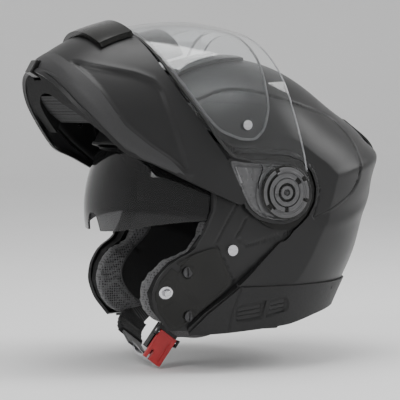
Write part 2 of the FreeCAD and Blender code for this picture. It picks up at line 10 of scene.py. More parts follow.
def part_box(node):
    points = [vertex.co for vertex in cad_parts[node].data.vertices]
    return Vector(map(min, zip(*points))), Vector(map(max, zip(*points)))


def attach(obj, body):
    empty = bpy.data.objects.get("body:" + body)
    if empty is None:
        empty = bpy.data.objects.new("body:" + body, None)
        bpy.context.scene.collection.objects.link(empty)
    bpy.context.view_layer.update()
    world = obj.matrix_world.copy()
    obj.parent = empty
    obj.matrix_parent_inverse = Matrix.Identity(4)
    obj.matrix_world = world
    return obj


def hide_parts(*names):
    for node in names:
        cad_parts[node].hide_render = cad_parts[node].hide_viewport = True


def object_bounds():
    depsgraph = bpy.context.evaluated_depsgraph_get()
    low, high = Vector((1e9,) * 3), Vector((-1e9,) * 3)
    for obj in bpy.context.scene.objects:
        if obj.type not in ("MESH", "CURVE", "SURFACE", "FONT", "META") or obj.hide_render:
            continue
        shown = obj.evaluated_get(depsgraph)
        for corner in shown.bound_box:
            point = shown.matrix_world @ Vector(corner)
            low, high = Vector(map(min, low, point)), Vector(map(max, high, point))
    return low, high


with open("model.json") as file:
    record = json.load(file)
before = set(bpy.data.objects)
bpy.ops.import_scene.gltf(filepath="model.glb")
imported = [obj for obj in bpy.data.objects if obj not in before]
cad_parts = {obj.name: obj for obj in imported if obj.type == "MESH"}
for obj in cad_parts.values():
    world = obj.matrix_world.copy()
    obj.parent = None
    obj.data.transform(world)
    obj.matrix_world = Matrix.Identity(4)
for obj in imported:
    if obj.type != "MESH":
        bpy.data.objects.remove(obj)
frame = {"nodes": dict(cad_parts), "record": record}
cad_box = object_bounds()

MM = 0.001
OPEN_ANGLE = math.radians(68.0)

# ---- sizes, millimetres and degrees; the rings are (angle, radius) --------
SHELL_RING = [(-90, 236), (-72, 223), (-55, 214), (-40, 210), (-27, 203), (-15, 186), (-3, 165),
              (8, 153), (20, 147.5), (35, 143.5), (50, 139), (70, 133.5), (90, 130), (107, 125.5),
              (123, 122.5), (140, 126), (155, 140), (161, 146.5), (166, 154), (172, 147.5),
              (179, 141), (194, 134.5), (210, 138), (226, 146), (240, 165), (255, 200)]
CHIN_RING = [(-100, 222), (-85, 230), (-72, 233), (-60, 234), (-50, 239), (-42, 243), (-37, 240),
             (-31, 231), (-24, 219), (-16, 205), (-5, 194), (15, 188), (50, 185), (90, 185),
             (130, 185), (170, 190), (205, 200), (235, 212)]
VISOR_RING = [(-90, 200), (-60, 206), (-35, 208), (-25, 205), (-16, 198), (-6, 185), (5, 172),
              (17, 159.5), (30, 150.5), (45, 147.5), (65, 149), (90, 150), (130, 150), (170, 150),
              (210, 155), (240, 175)]
BUTTON_TILT = np.radians(-38.5)    # face of the release button, bar closed
HUB_HOLE_R = 9.2                   # hole in each arm for the pivot hub
SIDES = ((1, "left"), (-1, "right"))


# ---- materials -----------------------------------------------------------
class Shader:
    """Small helper round one Principled material."""

    def __init__(self, name):
        self.material = bpy.data.materials.new(name)
        self.material.use_nodes = True
        self.tree = self.material.node_tree
        self.bsdf = self.tree.nodes["Principled BSDF"]
        self.coords = self.node("ShaderNodeTexCoord").outputs["Object"]

    def node(self, kind, **settings):
        made = self.tree.nodes.new(kind)
        for key, value in settings.items():
            setattr(made, key, value)
        return made

    def link(self, source, target):
        self.tree.links.new(source, target)

    def set(self, **values):
        for key, value in values.items():
            self.bsdf.inputs[key.replace("_", " ")].default_value = value

    def noise(self, scale, detail=3.0, stretch=(1, 1, 1)):
        mapping = self.node("ShaderNodeMapping")
        mapping.inputs["Scale"].default_value = stretch
        self.link(self.coords, mapping.inputs["Vector"])
        made = self.node("ShaderNodeTexNoise")
        made.inputs["Scale"].default_value = scale
        made.inputs["Detail"].default_value = detail
        self.link(mapping.outputs["Vector"], made.inputs["Vector"])
        return made.outputs["Fac"]

    def cells(self, scale, randomness=1.0):
        made = self.node("ShaderNodeTexVoronoi")
        made.inputs["Scale"].default_value = scale
        made.inputs["Randomness"].default_value = randomness
        self.link(self.coords, made.inputs["Vector"])
        return made.outputs["Distance"]

    def ramp(self, source, low, high, start=0.3, end=0.7):
        made = self.node("ShaderNodeValToRGB")
        made.color_ramp.elements[0].position = start
        made.color_ramp.elements[1].position = end
        made.color_ramp.elements[0].color = low
        made.color_ramp.elements[1].color = high
        self.link(source, made.inputs["Fac"])
        return made.outputs["Color"]

    def span(self, source, low, high):
        made = self.node("ShaderNodeMapRange")
        made.inputs["To Min"].default_value = low
        made.inputs["To Max"].default_value = high
        self.link(source, made.inputs["Value"])
        return made.outputs["Result"]

    def bump(self, height, distance, strength=1.0):
        made = self.node("ShaderNodeBump")
        made.inputs["Distance"].default_value = distance
        made.inputs["Strength"].default_value = strength
        self.link(height, made.inputs["Height"])
        if self.bsdf.inputs["Normal"].is_linked:
            self.link(self.bsdf.inputs["Normal"].links[0].from_socket, made.inputs["Normal"])
        self.link(made.outputs["Normal"], self.bsdf.inputs["Normal"])

    def colour(self, source):
        self.link(source, self.bsdf.inputs["Base Color"])

    def rough(self, source):
        self.link(source, self.bsdf.inputs["Roughness"])


def grey(value, alpha=1.0):
    return (value, value, value * 1.03, alpha)


def shell_paint():
    """Matte lacquer: fine orange peel, faint cloudiness."""
    s = Shader("shell_paint")
    s.colour(s.ramp(s.noise(9, 4), grey(0.009), grey(0.013)))
    s.rough(s.span(s.noise(60, 5), 0.34, 0.44))
    s.set(Specular_IOR_Level=0.34, Coat_Weight=0.05, Coat_Roughness=0.3)
    s.bump(s.noise(500, 2), 0.000012)
    return s.material


def trim_plastic():
    """Grained moulded plastic, lighter than the lacquer."""
    s = Shader("trim_plastic")
    s.colour(s.ramp(s.noise(1400, 2), grey(0.026), grey(0.036)))
    s.rough(s.span(s.noise(700, 3), 0.42, 0.55))
    s.set(Specular_IOR_Level=0.4)
    s.bump(s.noise(900, 3), 0.00006)
    return s.material


def trim_painted_shade():
    """Grained plastic of the lower rear edge, coloured darker than the trim plastic: painted shade for
    the edge that faces down.
    """
    s = Shader("trim_painted_shade")
    s.colour(s.ramp(s.noise(500, 3), grey(0.008), grey(0.014)))
    s.rough(s.span(s.noise(300, 3), 0.46, 0.6))
    s.set(Specular_IOR_Level=0.35)
    s.bump(s.noise(1100, 3), 0.00005)
    return s.material


def black_gloss():
    s = Shader("black_gloss")
    s.colour(s.ramp(s.noise(30, 3), (0.008, 0.008, 0.0072, 1), (0.012, 0.012, 0.011, 1)))
    s.rough(s.span(s.noise(25, 4), 0.14, 0.26))
    s.set(Specular_IOR_Level=0.26)
    s.bump(s.noise(220, 2), 0.00002)
    return s.material


def clear_lens():
    s = Shader("clear_lens")
    s.set(Base_Color=(0.97, 0.98, 0.985, 1), Transmission_Weight=1.0, IOR=1.42)
    s.rough(s.span(s.noise(40, 4), 0.0, 0.03))
    return s.material


def smoke_lens():
    s = Shader("smoke_lens")
    s.colour(s.ramp(s.noise(3, 1), (0.085, 0.085, 0.088, 1), (0.10, 0.10, 0.102, 1)))
    s.set(Transmission_Weight=0.9, IOR=1.35)
    s.rough(s.span(s.noise(40, 4), 0.02, 0.06))
    return s.material


def foam():
    """Moulded polystyrene, dyed black, with its bead pattern."""
    s = Shader("foam")
    cells = s.cells(330)
    s.colour(s.ramp(cells, grey(0.014), grey(0.007), 0.0, 0.6))
    s.set(Roughness=0.85, Specular_IOR_Level=0.25)
    s.bump(cells, 0.0004, 0.6)
    return s.material


def lining_fabric():
    s = Shader("lining_fabric")
    s.colour(s.ramp(s.noise(1800, 2), grey(0.013), grey(0.024)))
    s.set(Roughness=0.92, Sheen_Weight=0.18, Sheen_Roughness=0.4, Specular_IOR_Level=0.2)
    s.bump(s.noise(2200, 2), 0.0003)
    return s.material


def mesh_fabric():
    """Open spacer mesh: rows of small round cells."""
    s = Shader("mesh_fabric")
    cells = s.cells(420, 0.25)
    s.colour(s.ramp(cells, grey(0.003), grey(0.115), 0.2, 0.5))
    s.set(Roughness=0.85, Sheen_Weight=0.15)
    s.bump(cells, 0.0009)
    return s.material


def webbing():
    s = Shader("webbing")
    wave = s.node("ShaderNodeTexWave", wave_type="BANDS", bands_direction="DIAGONAL")
    wave.inputs["Scale"].default_value = 420
    s.link(s.coords, wave.inputs["Vector"])
    s.colour(s.ramp(wave.outputs["Fac"], grey(0.014), grey(0.035)))
    s.set(Roughness=0.8, Sheen_Weight=0.4)
    s.bump(wave.outputs["Fac"], 0.0003)
    return s.material


def satin_black():
    """Moulded nylon with a soft shine."""
    s = Shader("satin_black")
    s.colour(s.ramp(s.noise(200, 3), grey(0.075), grey(0.095)))
    s.rough(s.span(s.noise(150, 3), 0.24, 0.34))
    s.bump(s.noise(600, 2), 0.00001)
    return s.material


def dark_steel():
    """Blackened screw steel."""
    s = Shader("dark_steel")
    s.colour(s.ramp(s.noise(300, 3), grey(0.045), grey(0.09)))
    s.set(Metallic=0.9)
    s.rough(s.span(s.noise(400, 3), 0.26, 0.42))
    s.bump(s.noise(700, 2), 0.00003)
    return s.material


def lens_edge_highlight():
    """Painted highlight: a whitish strip standing in for the light caught along the clear sheet's moulded
    edge.
    """
    s = Shader("lens_edge_highlight")
    s.colour(s.ramp(s.noise(60, 2), grey(0.62), grey(0.80)))
    s.set(Transmission_Weight=0.5)
    s.rough(s.span(s.noise(90, 2), 0.10, 0.22))
    return s.material


def rubber():
    s = Shader("rubber")
    s.colour(s.ramp(s.noise(500, 3), grey(0.012), grey(0.02)))
    s.rough(s.span(s.noise(200, 3), 0.55, 0.75))
    s.bump(s.noise(900, 2), 0.00008)
    return s.material


def steel():
    s = Shader("steel")
    s.colour(s.ramp(s.noise(80, 3, (1, 1, 12)), grey(0.55), grey(0.72)))
    s.set(Metallic=1.0)
    s.rough(s.span(s.noise(300, 3, (1, 1, 20)), 0.16, 0.34))
    s.bump(s.noise(700, 2, (1, 1, 16)), 0.00003)
    return s.material


def red_plastic():
    s = Shader("red_plastic")
    s.colour(s.ramp(s.noise(60, 3), (0.40, 0.010, 0.014, 1), (0.50, 0.018, 0.022, 1)))
    s.rough(s.span(s.noise(300, 3), 0.28, 0.42))
    s.bump(s.noise(800, 2), 0.00006)
    return s.material


def grille_mesh():
    s = Shader("grille_mesh")
    cells = s.cells(300, 0.1)
    s.colour(s.ramp(cells, grey(0.002), grey(0.030), 0.25, 0.5))
    s.set(Roughness=0.7, Specular_IOR_Level=0.12)
    s.bump(cells, 0.0008)
    return s.material


def seal_silicone():
    s = Shader("seal_silicone")
    s.colour(s.ramp(s.noise(300, 2), grey(0.20), grey(0.28)))
    s.set(Roughness=0.35, Transmission_Weight=0.35)
    s.bump(s.noise(600, 2), 0.00003)
    return s.material


def piping():
    s = Shader("piping")
    s.colour(s.ramp(s.noise(900, 2), grey(0.035), grey(0.06)))
    s.rough(s.span(s.noise(500, 2), 0.45, 0.65))
    s.bump(s.noise(1500, 2), 0.0001)
    return s.material


MATERIALS = {maker.__name__: maker() for maker in (
    shell_paint, trim_plastic, black_gloss, clear_lens, smoke_lens, foam, lining_fabric,
    mesh_fabric, webbing, rubber, steel, red_plastic, grille_mesh, seal_silicone, piping,
    satin_black, dark_steel, lens_edge_highlight, trim_painted_shade)}


def dress_cad_nodes():
    slots = {part["node"]: part["material_slot"] for part in frame["record"]["subparts"]}
    for name, node in frame["nodes"].items():
        dark = slots[name] == "steel" and "screw" in name
        if name == "lens_pins":
            slots[name] = "steel"
        node.data.materials.clear()
        node.data.materials.append(MATERIALS["dark_steel" if dark else slots[name]])


def show(piece):
    bpy.context.scene.collection.objects.link(piece)


# ---- curved skins --------------------------------------------------------
def closed_spline(points, samples=2400):
    """Dense points on the smooth closed curve through the given ones."""
    points = np.asarray(points, float)
    count = len(points)
    step = np.linalg.norm(np.roll(points, -1, 0) - points, axis=1)
    before = np.roll(step, 1)
    system = np.zeros((count, count))
    wanted = np.zeros((count, 2))
    for i in range(count):
        left, right = (i - 1) % count, (i + 1) % count
        system[i, left] += step[i]
        system[i, i] += 2 * (before[i] + step[i])
        system[i, right] += before[i]
        wanted[i] = 3 * (step[i] * (points[i] - points[left]) / before[i]
                         + before[i] * (points[right] - points[i]) / step[i])
    slope = np.linalg.solve(system, wanted)
    knots = np.concatenate([[0], np.cumsum(step)])
    places = np.linspace(0, knots[-1], samples, endpoint=False)
    found = np.searchsorted(knots, places, side="right") - 1
    share = ((places - knots[found]) / step[found])[:, None]
    length = step[found][:, None]
    after = (found + 1) % count
    return ((1 + 2 * share) * (1 - share) ** 2 * points[found]
            + share * (1 - share) ** 2 * length * slope[found]
            + share ** 2 * (3 - 2 * share) * points[after]
            + share ** 2 * (share - 1) * length * slope[after])


def resample(line, spacing):
    """The same open line with evenly spaced points."""
    line = np.asarray(line, float)
    run = np.concatenate([[0], np.cumsum(np.linalg.norm(np.diff(line, axis=0), axis=1))])
    count = max(3, int(round(run[-1] / spacing)) + 1)
    places = np.linspace(0, run[-1], count)
    return np.stack([np.interp(places, run, line[:, axis]) for axis in range(line.shape[1])], 1)


class Bulge:
    """Doubly curved skin: one ring in the side view, scaled down towards both sides."""

    def __init__(self, ring, half, floor, offset=0.0, power=2.5, root=2.1, centre=(0.0, 0.0)):
        self.half, self.floor, self.power, self.root = half, floor, power, root
        self.centre = np.array(centre, float)
        turns = np.radians([angle for angle, _ in ring])
        reach = np.array([radius for _, radius in ring]) + offset
        dense = closed_spline(np.stack([-reach * np.cos(turns), reach * np.sin(turns)], 1))
        angle = np.degrees(np.unwrap(np.arctan2(dense[:, 1], -dense[:, 0])))
        radius = np.linalg.norm(dense, axis=1)
        angle -= 360 * np.round((angle[0] - ring[0][0]) / 360)
        self.angles = np.concatenate([angle - 360, angle, angle + 360])
        self.radii = np.tile(radius, 3)

    def radius(self, angle):
        return np.interp(angle, self.angles, self.radii)

    def grid(self, start, end, spacing, reach=0.04):
        """Points [around, across] between two angles; reach is how near the axis it goes."""
        lean = np.linspace(0, math.asin(self.floor / self.half), 200)
        side_x = self.half * np.sin(lean)
        share = (1 - (side_x / self.half) ** self.root) ** (1 / self.power)
        mean = float(np.mean(self.radius(np.linspace(start, end, 50))))
        line = np.stack([side_x, share * mean], 1)
        if reach * mean < line[-1, 1]:
            line = np.concatenate([line, [[self.floor, reach * mean]]])
        line = resample(line, spacing)
        side_x, share = line[:, 0], line[:, 1] / mean
        side_x = np.concatenate([-side_x[:0:-1], side_x])
        share = np.concatenate([share[:0:-1], share])
        around = np.linspace(start, end, max(3, int(math.radians(end - start) * mean / spacing)))
        turns, radii = np.radians(around), self.radius(around)
        grid = np.empty((len(around), len(side_x), 3))
        grid[..., 0] = side_x[None, :]
        grid[..., 1] = self.centre[0] - (radii * np.cos(turns))[:, None] * share[None, :]
        grid[..., 2] = self.centre[1] + (radii * np.sin(turns))[:, None] * share[None, :]
        return grid


def side_view(grid):
    return grid[..., 1], grid[..., 2]


def level(height):
    """Relief that lifts a whole skin by one height."""
    return lambda grid: np.full(grid.shape[:2], height)


def normals(grid):
    """Outward normals of a grid."""
    across = np.gradient(grid, axis=1)
    along = np.gradient(grid, axis=0)
    normal = np.cross(across, along)
    normal /= np.maximum(np.linalg.norm(normal, axis=2, keepdims=True), 1e-9)
    outward = np.sum(normal * grid, axis=2).mean()
    return normal if outward > 0 else -normal


def rounded(outline, passes=3, cut=0.2):
    """Outline with its corners cut round."""
    line = np.asarray(outline, float)
    for _ in range(passes):
        after = np.roll(line, -1, 0)
        line = np.stack([line * (1 - cut) + after * cut, line * cut + after * (1 - cut)],
                        1).reshape(-1, 2)
        cut = 0.25
    return line


def depth_in(outline, y, z):
    """Distance inside a closed side outline, below zero outside it."""
    line = np.asarray(outline, float)
    points = np.stack([np.ravel(y), np.ravel(z)], 1)
    best = np.full(len(points), 1e9)
    odd = np.zeros(len(points), bool)
    for a, b in zip(line, np.roll(line, -1, 0)):
        edge = b - a
        size = max(float(edge @ edge), 1e-12)
        share = np.clip((points - a) @ edge / size, 0, 1)
        gap = np.linalg.norm(points - a - share[:, None] * edge, axis=1)
        best = np.minimum(best, gap)
        crosses = (a[1] > points[:, 1]) != (b[1] > points[:, 1])
        if a[1] != b[1]:
            meet = a[0] + (points[:, 1] - a[1]) * edge[0] / edge[1]
            odd ^= crosses & (points[:, 0] < meet)
    return np.where(odd, best, -best).reshape(np.shape(y))


def beside(line, y, z):
    """Signed distance from an open side line (left of its run above zero), and run along it."""
    line = np.asarray(line, float)
    points = np.stack([np.ravel(y), np.ravel(z)], 1)
    best = np.full(len(points), 1e9)
    signed = np.zeros(len(points))
    run = np.zeros(len(points))
    done = 0.0
    for a, b in zip(line, line[1:]):
        edge = b - a
        length = float(np.linalg.norm(edge))
        share = np.clip((points - a) @ edge / length ** 2, 0, 1)
        away = points - a - share[:, None] * edge
        gap = np.linalg.norm(away, axis=1)
        nearer = gap < best
        side = np.sign(edge[0] * away[:, 1] - edge[1] * away[:, 0])
        best = np.where(nearer, gap, best)
        signed = np.where(nearer, gap * side, signed)
        run = np.where(nearer, done + share * length, run)
        done += length
    return signed.reshape(np.shape(y)), run.reshape(np.shape(y)) / done


def smooth_step(value, low, high):
    share = np.clip((value - low) / (high - low), 0, 1)
    return share * share * (3 - 2 * share)


def clipped_mesh(name, grid, keep):
    """Mesh of the grid where keep is above zero, with the border cut cleanly along zero."""
    rows, columns = keep.shape
    inside = keep > 0
    points = [tuple(p) for p in (grid * MM).reshape(-1, 3)]
    numbers = {}
    vertices, faces = [], []

    def corner(i, j):
        key = i * columns + j
        if key not in numbers:
            numbers[key] = len(vertices)
            vertices.append(points[key])
        return numbers[key]

    def crossing(i0, j0, i1, j1):
        a, b = sorted(((i0, j0), (i1, j1)))
        key = (a, b)
        if key not in numbers:
            fa, fb = keep[a], keep[b]
            share = min(0.97, max(0.03, fa / (fa - fb)))
            numbers[key] = len(vertices)
            vertices.append(tuple((grid[a] * (1 - share) + grid[b] * share) * MM))
        return numbers[key]

    for i in range(rows - 1):
        for j in range(columns - 1):
            around = ((i, j), (i, j + 1), (i + 1, j + 1), (i + 1, j))
            states = [inside[p] for p in around]
            if not any(states):
                continue
            if all(states):
                faces.append([corner(*p) for p in around])
                continue
            face = []
            for here, after in zip(around, around[1:] + around[:1]):
                if inside[here]:
                    face.append(corner(*here))
                if inside[here] != inside[after]:
                    face.append(crossing(*here, *after))
            if len(face) >= 3:
                faces.append(face)
    mesh = bpy.data.meshes.new(name)
    mesh.from_pydata(vertices, [], faces)
    work = bmesh.new()
    work.from_mesh(mesh)
    bmesh.ops.remove_doubles(work, verts=work.verts, dist=0.25 * MM)
    bmesh.ops.dissolve_degenerate(work, edges=work.edges, dist=0.05 * MM)
    bmesh.ops.recalc_face_normals(work, faces=work.faces)
    swapped = sum(face.calc_area() * face.normal.dot(face.calc_center_median()) for face in work.faces)
    if swapped < 0:
        bmesh.ops.reverse_faces(work, faces=work.faces)
    work.to_mesh(mesh)
    work.free()
    mesh.shade_smooth()
    return mesh


def place(name, mesh, body, slot, turn=0.0, thick=0.0, bevel=0.0, material=None, segments=2):
    """Put a mesh in the scene on a body, with its wall thickness and rounded edges."""
    if turn:
        mesh.transform(Matrix.Rotation(turn, 4, "X"))
    piece = bpy.data.objects.new(name, mesh)
    show(piece)
    mesh.materials.append(material or MATERIALS[slot])
    if thick:
        wall = piece.modifiers.new("wall", "SOLIDIFY")
        wall.thickness = thick * MM
        wall.offset = -1.0
        wall.use_even_offset = False
    if bevel:
        edge = piece.modifiers.new("edge", "BEVEL")
        edge.width = bevel * MM
        edge.segments = segments
        edge.limit_method = "ANGLE"
        edge.angle_limit = math.radians(50)
        edge.use_clamp_overlap = True
        edge.harden_normals = True
    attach(piece, body)
    return piece


# ---- side outlines (y, z), bar and visor closed; PIVOT_PLATE with them raised
FRONT_OPENING = [(-300, 47), (-134, 47), (-112, 43), (-88, 34), (-72, 18), (-66, 2), (-67, -14),
                 (-76, -36), (-87, -53), (-106, -63), (-118, -78), (-123, -95), (-118, -113),
                 (-107, -127), (-97, -140), (-97, -300), (-300, -300)]
BELOW_RIM = [(-300, -133), (-53, -131), (10, -124.5), (42, -117), (75, -112), (300, -112),
             (300, -400), (-300, -400)]
RAISED = [(-95, -136), (-75, -112), (-46, -88.5), (-4, -48), (16, -34), (27, -24), (34.5, -11),
          (36, 4), (31, 19), (20, 30), (4, 35.5), (-16, 37), (-40, 38), (-61, 40), (-76, 52),
          (-92, 90), (-106, 130), (-110, 300), (300, 300), (300, -300), (-95, -300)]
CHIN_COVER = [(-9, -39.6), (-27, -40.4), (-48, -42.4), (-72, -48.3), (-96, -52.9), (-117.5, -57),
              (-142, -60), (-175, -60.5), (-300, -60.5), (-300, -156), (-189, -155), (-150, -149),
              (-93.5, -130.5), (-76.3, -111.3), (-48.5, -87), (-5.5, -46.5)]
CHIN_BAND = [(-50, -85.5), (-77, -111.3), (-93.5, -129.5), (-150, -148.5), (-189, -154.5),
             (-300, -155.5), (-300, -131), (-187.5, -130.3), (-176, -127.4), (-154, -123.6),
             (-136.6, -121.8), (-117, -119.4), (-91.7, -106.7), (-72.4, -93.9)]
CHIN_PANEL = [(-188, -128), (-178, -117), (-168.6, -104), (-156, -86), (-144, -74.5),
              (-133.4, -72), (-112.7, -75.3), (-91.7, -77.5), (-71.7, -80), (-54, -82.6),
              (-72.4, -92.7), (-91.7, -105.3), (-117, -118), (-136.6, -120.2), (-154, -122),
              (-176, -125.8)]
BAND_RIDGE = [(-230, -139), (-189, -138.4), (-174, -137.5), (-157, -135), (-138, -131),
              (-113, -124.5), (-91, -113), (-66, -96)]
VISOR_OUTLINE = [(4, 27), (-36, 34.5), (-68, 40.5), (-98, 48.5), (-130, 54.5), (-300, 61),
                 (-300, -58.5), (-175, -58.5), (-142, -58), (-117.5, -55), (-96, -50.9),
                 (-72, -46.4), (-52, -40), (-44, -27), (-33, -10), (-20, -24), (0, -28)]
INSERT = [(-57, -10), (-62, 3), (-77.5, 16.8), (-100.8, 27.2), (-120, 36), (-140, 41), (-300, 46),
          (-300, -55), (-145, -54.5), (-118, -51), (-94, -46.5), (-78, -40), (-63, -24)]
REAR_PANEL = [(-90, 86), (-72, 88), (-57, 95), (-42, 98.7), (-22, 97), (-4, 92.5), (30, 83.5),
              (73, 73), (87, 57), (93, 42), (93.5, 24), (91, 9), (79, -5), (58, -16), (40, -23),
              (31, -27.5), (37.5, -11), (39.5, 4), (34, 21), (22, 33), (5, 39), (-16, 41),
              (-40, 42), (-60, 44), (-73, 55)]
PIVOT_PLATE = [(-58.5, 31.5), (-42, 28.8), (-15.7, 27), (5, 24.8), (18, 17), (25.5, 5), (26.5, -5),
               (22, -16), (12, -23.5), (0, -27), (-13, -25.5), (-26, -22), (-36, -14),
               (-43, -2)]
LOWER_TRIM = [(-44, -89), (300, -89), (300, -114.5), (75, -114.5), (42, -119.5), (10, -127),
              (-53, -133.5), (-90, -135.4), (-73.5, -114), (-45.5, -89.5)]


def panel_step(outline, y, z, height, width=1.6):
    """Height of a panel set into a skin, with a soft shoulder."""
    return height * smooth_step(depth_in(rounded(outline), y, z), -width / 2, width / 2)


def skin_piece(name, bulge, span, field, spacing=2.2, relief=None, reach=0.04):
    grid = bulge.grid(*span, spacing, reach)
    keep = field(grid)
    if relief is not None:
        grid = grid + normals(grid) * relief(grid)[..., None]
    return clipped_mesh(name, grid, keep)


def helmet_shell():
    """Front seat skin under the visor, and the raised rear skin round it."""
    raised = rounded(RAISED, 3, 0.12)
    opening = rounded(FRONT_OPENING, 3, 0.2)

    def seat_field(grid):
        y, z = side_view(grid)
        field = np.minimum(-depth_in(opening, y, z), -depth_in(BELOW_RIM, y, z))
        field = np.minimum(field, 5.0 - depth_in(raised, y, z))
        return np.where(np.hypot(y, z) < 3, -1, field)

    seat = Bulge(SHELL_RING, 112.0, 110.5, -1.2)

    def seat_relief(grid):
        """Shallow scribed recess round the arm's seat."""
        y, z = side_view(grid)
        near, _ = beside([(-46, -8), (-60, -32.6), (-67, -46.7), (-61, -58), (-45.7, -85)], y, z)
        scribe, _ = beside([(-37.6, -23.7), (-47.5, -42.4), (-36, -49.4), (11, -38.4)], y, z)
        return (-1.0 * (1 - smooth_step(np.abs(near), 0.2, 1.2))
                - 1.0 * (1 - smooth_step(np.abs(scribe), 0.2, 1.2)))

    mesh = skin_piece("shell_seat", seat, (-90, 270), seat_field, 1.6, seat_relief, 0.02)
    front = place("shell_seat", mesh, "helmet", "shell_paint", thick=4.0, bevel=0.9)
    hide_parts("outer_shell")

    def raised_field(grid):
        y, z = side_view(grid)
        return np.minimum(depth_in(raised, y, z), -depth_in(BELOW_RIM, y, z))

    def raised_relief(grid):
        y, z = side_view(grid)
        relief = -panel_step(REAR_PANEL, y, z, 1.1, 1.6)
        inner = depth_in(rounded(REAR_PANEL), y, z)
        relief -= 0.7 * (1 - smooth_step(np.abs(inner - 0.6), 0.2, 1.0))
        wing, run = beside([(28, -37), (80, -28), (108, -19), (139, 3), (150, 30)], y, z)
        fade = smooth_step(run, 0.02, 0.25) * (1 - smooth_step(run, 0.8, 1.0))
        relief += 1.3 * np.exp(-(wing / 7.0) ** 2) * fade
        return relief

    rear = Bulge(SHELL_RING, 120.6, 114.4, -0.4)
    mesh = skin_piece("shell_rear", rear, (40, 322), raised_field, 1.6, raised_relief, 0.2)
    back = place("shell_rear", mesh, "helmet", "shell_paint", thick=8.0, bevel=1.3, segments=3)
    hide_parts("outer_shell")


CHIN_SKIN = Bulge(CHIN_RING, 118.2, 117.2, 0.0, 2.6, 2.0)


def round_button(field, grid, half_width, half_height):
    """The field with a pocket left open for the release button."""
    y, z = side_view(grid)
    up = y * math.sin(BUTTON_TILT) + z * math.cos(BUTTON_TILT)
    button = np.maximum(np.abs(grid[..., 0]) - half_width, np.abs(up) - half_height)
    front = (-y * math.cos(BUTTON_TILT) + z * math.sin(BUTTON_TILT)) > 150
    return np.minimum(field, np.where(front, button, 99))


def chin_bar():
    outline = rounded(CHIN_COVER, 3, 0.14)

    def chin_field(grid):
        y, z = side_view(grid)
        field = np.minimum(depth_in(outline, y, z), -depth_in(CHIN_BAND, y, z) + 3.0)
        return np.minimum(round_button(field, grid, 8.8, 7.8), np.hypot(y, z) - HUB_HOLE_R)

    def chin_relief(grid):
        y, z = side_view(grid)
        relief = -2.2 * smooth_step(depth_in(rounded(CHIN_PANEL, 2, 0.12), y, z), -0.6, 2.2)
        crease, run = beside(CHIN_PANEL[:10], y, z)
        ridge = np.exp(-(crease / 3.0) ** 2) * smooth_step(run, 0, 0.12)
        return np.minimum(relief + 0.8 * ridge, 0.7)

    mesh = skin_piece("chin_cover", CHIN_SKIN, (-100, 60), chin_field, 2.0, chin_relief)
    cover = place("chin_cover", mesh, "chin_bar", "shell_paint", -OPEN_ANGLE, 3.6, 0.9)
    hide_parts("chin_shell")

    def band_field(grid):
        return round_button(depth_in(rounded(CHIN_BAND, 2, 0.1), *side_view(grid)), grid, 9.2, 8.2)

    band_skin = Bulge(CHIN_RING, 119.4, 118.4, 1.3, 2.6, 2.0)

    def band_relief(grid):
        ridge, _ = beside(BAND_RIDGE, *side_view(grid))
        above, below = np.maximum(ridge, 0), np.maximum(-ridge, 0)
        return -np.minimum(0.10 * above, 1.1) - np.minimum(0.02 * below ** 2, 5.0)

    mesh = skin_piece("chin_band", band_skin, (-80, -20), band_field, 1.8, band_relief)
    strip = place("chin_band", mesh, "chin_bar", "trim_plastic", -OPEN_ANGLE, 2.2, 0.6)
    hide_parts("chin_trim")

    lip = place("chin_lip", lip_mesh(), "chin_bar", "trim_plastic", -OPEN_ANGLE, 2.2, 0.8)
    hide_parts("chin_trim")


def lip_mesh():
    """Flange that turns inwards all round the chin bar's lower edge."""
    lean = np.linspace(-1, 1, 81)
    rows = []
    for inset in (0.0, 1.0, 4.0, 10.0, 17.0, 23.0):
        row = []
        for turn in lean:
            x = 111.0 * math.sin(turn * 1.2) / math.sin(1.2)
            half = CHIN_SKIN.half - inset
            share = max(0.0, 1 - (min(abs(x), half * 0.98) / half) ** 2.0) ** (1 / 2.6)
            angle = -38.6 - 3.0 * abs(turn) ** 1.5 - 11.0 * abs(turn) ** 4
            radius = (float(CHIN_SKIN.radius(angle)) - inset) * share
            if radius < 160:
                angle = -54.5
            y = -radius * math.cos(math.radians(angle))
            z = radius * math.sin(math.radians(angle))
            row.append((x, y, z))
        rows.append(row)
    grid = np.array(rows)
    keep = np.minimum(np.hypot(grid[..., 1], grid[..., 2]) - 168, -126 - grid[..., 1])
    keep[:3] = np.minimum(keep[:3], np.abs(grid[:3, :, 0]) - 10.5)
    return clipped_mesh("chin_lip", grid, keep)


def visor_lens():
    outline = rounded(VISOR_OUTLINE, 3, 0.2)
    skin = Bulge(VISOR_RING, 120.6, 119.5, 0.0, 3.2, 2.0)

    def field(grid):
        y, z = side_view(grid)
        near = np.hypot(y, z)
        keep = np.maximum(depth_in(outline, y, z), 28.2 - near)
        return np.minimum(keep, near - HUB_HOLE_R)

    mesh = skin_piece("visor_lens", skin, (-60, 92), field, 2.4)
    lens = place("visor_lens", mesh, "visor", "clear_lens", -OPEN_ANGLE, 2.1, 0.5)
    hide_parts("visor")

    def rear_edge(grid):
        y, z = side_view(grid)
        inner = depth_in(outline, y, z)
        upper = np.minimum(z - 0.2 * np.abs(y), np.hypot(y, z) - 30)
        return np.minimum(np.minimum(inner + 0.05, 1.5 - inner), upper)

    # whitish strip along the visor's rear and top edge: painted highlight of the light that edge catches
    mesh = skin_piece("visor_rim_highlight", skin, (-10, 92), rear_edge, 1.1, level(-0.5))
    place("visor_rim_highlight", mesh, "visor", "clear_lens", -OPEN_ANGLE, 1.0, material=MATERIALS["lens_edge_highlight"])

    def seal_field(grid):
        y, z = side_view(grid)
        inner = depth_in(outline, y, z)
        return np.minimum(np.minimum(inner, 2.6 - inner), np.minimum(-30 - y, -24 - z))

    mesh = skin_piece("visor_seal", skin, (-60, 10), seal_field, 1.2, level(0.25))
    place("visor_seal", mesh, "visor", "rubber", -OPEN_ANGLE, 0.9)


